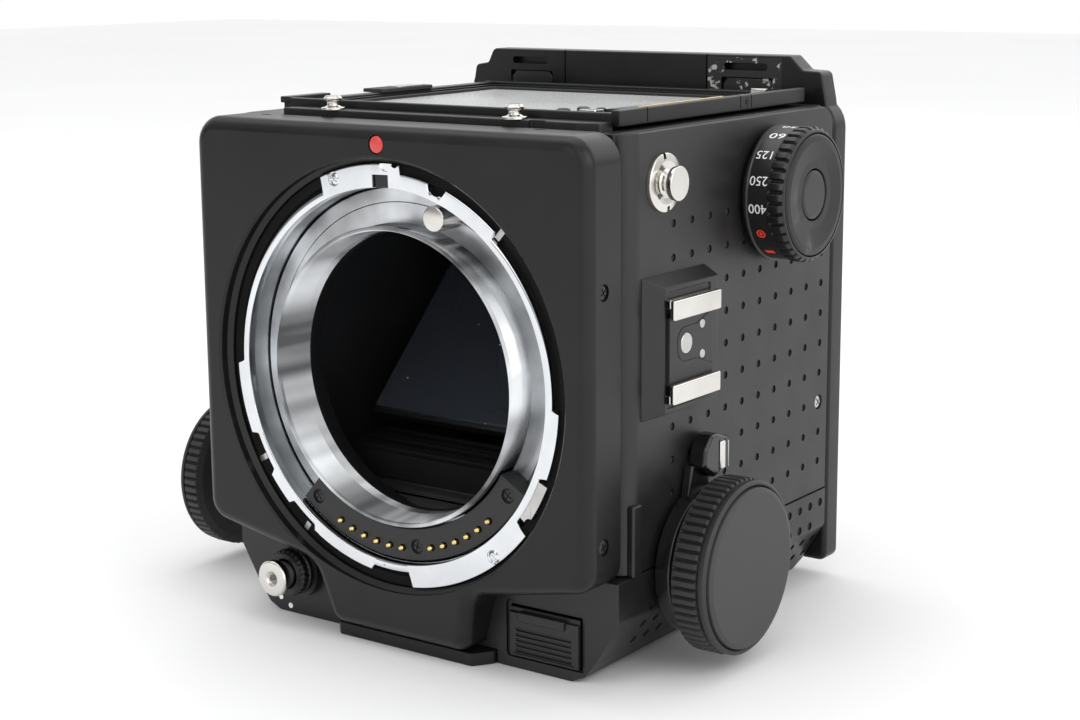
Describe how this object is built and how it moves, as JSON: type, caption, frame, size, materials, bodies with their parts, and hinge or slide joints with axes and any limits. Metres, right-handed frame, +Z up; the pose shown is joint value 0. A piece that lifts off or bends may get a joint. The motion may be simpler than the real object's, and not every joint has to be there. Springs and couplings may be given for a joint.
{
  "type": "medium format camera body",
  "caption": "Modular medium-format reflex camera body with bellows focusing on a rack and pinion, bayonet lens mount, reflex mirror, focusing screen and revolving film-holder adapter.",
  "frame": {"origin": "on the underside of the base plate, halfway between the sides and near mid depth", "axes": "+Z up, the lens side faces -Y, the accessory shoe and speed dial are on +X"},
  "size_m": [0.1494, 0.107, 0.1238],
  "materials": {
    "black_paint": "satin",
    "cover_paint": "satin",
    "black_plastic": "matte",
    "grip_rubber": "matte",
    "bellows_skin": "matte",
    "chrome": "polished",
    "steel": "satin",
    "carriage_alloy": "satin",
    "gold": "polished",
    "screen_glass": "gloss",
    "mirror_silver": "polished",
    "index_red": "satin"
  },
  "bodies": {
    "body": {"main_chassis": "black_paint", "side_cover_right": "cover_paint", "side_cover_left": "cover_paint", "top_plate": "black_paint", "base_housing": "cover_paint", "base_plate": "black_paint", "tripod_socket": "steel", "lower_baffle": "black_plastic", "battery": "steel", "strap_lug_right": "steel", "strap_lug_left": "steel", "winding_cover": "cover_paint", "finder_frame": "black_paint", "focusing_screen": "screen_glass", "finder_contact_strip": "gold", "finder_pin_right": "chrome", "finder_pin_left": "chrome", "shoe_block": "black_plastic", "shoe_rail_upper": "chrome", "shoe_rail_lower": "chrome", "shoe_contact_plate": "black_plastic", "shaft_bush_right": "black_plastic", "shaft_bush_left": "black_plastic", "bellows": "bellows_skin", "adapter_bearing_ring": "steel"},
    "front_standard": {"front_panel": "black_paint", "index_dot": "index_red", "mount_flange": "chrome", "mount_barrel": "chrome", "throat_tube": "chrome", "contact_block": "black_plastic", "contact_pins": "gold", "focus_carriage": "carriage_alloy", "focus_rack_right": "steel", "focus_rack_left": "steel", "bellows_front_frame": "black_paint"},
    "cocking_ring": {"cocking_ring": "chrome", "cocking_pin": "steel"},
    "focus_shaft": {"focus_shaft": "steel", "pinion_right": "steel", "pinion_left": "steel", "focus_knob_right": "grip_rubber", "focus_knob_left": "grip_rubber", "knob_cap_right": "black_plastic", "knob_cap_left": "black_plastic"},
    "focus_lock": {"focus_lock_lever": "black_plastic", "lock_lever_tip": "chrome"},
    "speed_dial": {"speed_dial": "black_plastic", "dial_face": "black_plastic"},
    "dial_button": {"dial_button": "black_plastic"},
    "release_button": {"release_button": "chrome"},
    "release_collar": {"release_lock_collar": "black_plastic"},
    "cocking_lever": {"cocking_lever": "cover_paint", "cocking_lever_pad": "grip_rubber"},
    "mirror": {"mirror_frame": "black_paint", "mirror_glass": "mirror_silver"},
    "shield_door": {"rear_shield_door": "black_paint"},
    "adapter": {"revolving_adapter": "black_paint"},
    "holder_latch": {"holder_latch_bar": "steel"},
    "battery_cover": {"battery_cover": "black_plastic"}
  },
  "joints": [
    {"name": "focus_slide", "type": "slide", "parent": "body", "child": "front_standard", "axis": [0, -1, 0], "range_m": [0, 0.046], "deforming": ["bellows"]},
    {"name": "focus_spin", "type": "hinge", "parent": "body", "child": "focus_shaft", "pos_m": [0, -0.0153, 0.0217], "axis": [1, 0, 0], "range_deg": [-440, 0]},
    {"name": "focus_lock_turn", "type": "hinge", "parent": "body", "child": "focus_lock", "pos_m": [0.055, -0.0153, 0.0217], "axis": [1, 0, 0], "range_deg": [-35, 0]},
    {"name": "dial_turn", "type": "hinge", "parent": "body", "child": "speed_dial", "pos_m": [0.057, 0.0171, 0.0961], "axis": [1, 0, 0], "range_deg": [-165, 165]},
    {"name": "dial_button_press", "type": "slide", "parent": "speed_dial", "child": "dial_button", "axis": [-1, 0, 0], "range_m": [0, 0.0008], "stiffness_N_per_m": 600, "springref_m": -0.001},
    {"name": "release_press", "type": "slide", "parent": "body", "child": "release_button", "axis": [0, 1, 0], "range_m": [0, 0.002], "stiffness_N_per_m": 500, "springref_m": -0.001},
    {"name": "release_lock_turn", "type": "hinge", "parent": "body", "child": "release_collar", "pos_m": [-0.0337, -0.047, 0.0112], "axis": [0, 1, 0], "range_deg": [0, 20]},
    {"name": "cocking_stroke", "type": "hinge", "parent": "body", "child": "cocking_lever", "pos_m": [-0.063, 0.014, 0.05], "axis": [1, 0, 0], "range_deg": [0, 100], "stiffness_Nm_per_rad": 0.03, "springref_deg": -28.65},
    {"name": "cocking_ring_turn", "type": "hinge", "parent": "front_standard", "child": "cocking_ring", "pos_m": [0, -0.0443, 0.0605], "axis": [0, 1, 0], "range_deg": [0, 30]},
    {"name": "mirror_flip", "type": "hinge", "parent": "body", "child": "mirror", "pos_m": [0, 0.0365, 0.093], "axis": [-1, 0, 0], "range_deg": [0, 45]},
    {"name": "shield_flip", "type": "hinge", "parent": "body", "child": "shield_door", "pos_m": [0, 0.0412, 0.0888], "axis": [-1, 0, 0], "range_deg": [0, 90]},
    {"name": "adapter_turn", "type": "hinge", "parent": "body", "child": "adapter", "pos_m": [0, 0.0496, 0.0605], "axis": [0, 1, 0], "range_deg": [0, 90]},
    {"name": "holder_latch_slide", "type": "slide", "parent": "adapter", "child": "holder_latch", "axis": [1, 0, 0], "range_m": [0, 0.003]},
    {"name": "battery_cover_swing", "type": "hinge", "parent": "body", "child": "battery_cover", "pos_m": [0.034, -0.0442, 0.003], "axis": [1, 0, 0], "range_deg": [0, 90]}
  ],
  "couplings": [
    {"joint": "focus_spin", "follows": "focus_slide", "rad_per_m": -166.67},
    {"joint": "shield_flip", "follows": "mirror_flip", "ratio": 2},
    {"joint": "cocking_ring_turn", "follows": "cocking_stroke", "ratio": 0.3}
  ]
}
